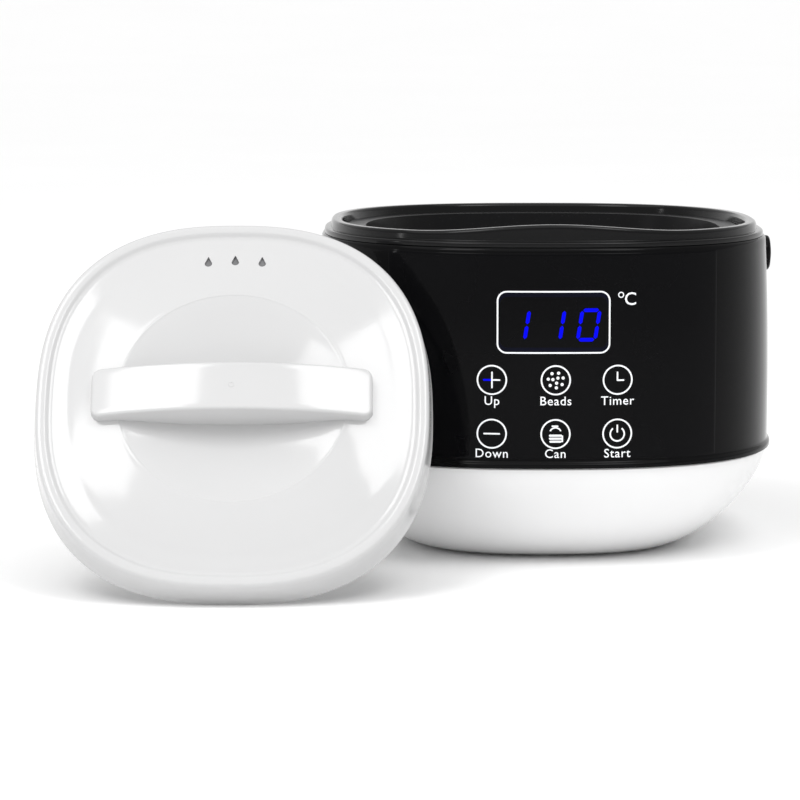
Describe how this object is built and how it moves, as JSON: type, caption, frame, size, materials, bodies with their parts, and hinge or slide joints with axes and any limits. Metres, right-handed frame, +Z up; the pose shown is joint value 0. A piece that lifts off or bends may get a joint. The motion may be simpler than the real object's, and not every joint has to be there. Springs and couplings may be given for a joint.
{
  "type": "paraffin wax bath",
  "caption": "Rounded-square tabletop wax warmer with a glossy touch panel, heated well, lift-out pot, fold-back carry handle and a loose lid leaning against its front-left corner.",
  "frame": {"origin": "on the table, under the middle of the housing's base", "axes": "+Z up; -Y towards the front with the control panel; +X to the right as seen from the front"},
  "size_m": [0.291, 0.2575, 0.1335],
  "materials": {
    "rubber": "matt moulded rubber",
    "matte_black": "fine spark-eroded texture",
    "steel": "zinc-plated steel",
    "gloss_white": "polished injection moulding",
    "gloss_black": "polished injection moulding",
    "panel_black": "back-printed clear-fronted black panel",
    "panel_print": "white print behind the panel's clear front",
    "display_face": "smoked display filter",
    "led_blue": "lit blue segments",
    "circuit_board": "solder-masked fibreglass board",
    "foam": "conductive foam",
    "nylon": "natural nylon",
    "galvanised": "galvanised sheet",
    "aluminium": "spun aluminium",
    "element_sheath": "oxidised element sheath",
    "wire_sleeve": "silicone wire sleeve",
    "glass_wool": "needled glass fibre",
    "ceramic": "ceramic sleeve",
    "paper_board": "paper-based circuit board",
    "relay_blue": "relay case",
    "capacitor_sleeve": "shrink sleeve",
    "terminal_green": "terminal block",
    "pin_brass": "nickel-plated brass",
    "nonstick": "speckled non-stick coating",
    "lid_white": "polished injection moulding",
    "vent_grey": "shaded vent hole"
  },
  "bodies": {
    "housing": {"foot_ring": "rubber", "base_pan": "matte_black", "base_screws": "steel", "lower_shell": "gloss_white", "shell_screws": "steel", "upper_wrap": "gloss_black", "control_panel": "panel_black", "display_module": "display_face", "control_board": "circuit_board", "touch_pads": "foam", "board_spacers": "nylon", "board_screws": "steel", "heat_shield": "galvanised", "rim_ring": "gloss_black", "well_screws": "steel", "heating_well": "aluminium", "heating_element": "element_sheath", "element_leads": "wire_sleeve", "insulation_band": "glass_wool", "temperature_sensor": "steel", "thermal_fuse": "ceramic", "sensor_clips": "galvanised", "power_board": "paper_board", "relay": "relay_blue", "capacitors": "capacitor_sleeve", "terminal_block": "terminal_green", "power_board_screws": "steel", "power_inlet": "matte_black", "inlet_pins": "pin_brass", "handle_pins": "steel"},
    "handle": {"carry_handle": "gloss_black", "pivot_caps": "gloss_black"},
    "pot": {"inner_pot": "nonstick"},
    "lid": {"lid_shell": "lid_white", "lid_handle": "lid_white", "lid_screws": "steel"}
  },
  "joints": [
    {"name": "handle_fold", "type": "hinge", "parent": "housing", "child": "handle", "pos_m": [0, 0.013, 0.1148], "axis": [1, 0, 0], "range_deg": [0, 90]},
    {"name": "pot_lift", "type": "slide", "parent": "housing", "child": "pot", "axis": [0, 0, 1], "range_m": [0, 0.16]},
    {"name": "lid_lift", "type": "slide", "parent": "housing", "child": "lid", "axis": [0, -0.829, 0.5592], "range_m": [0, 0.12]}
  ]
}
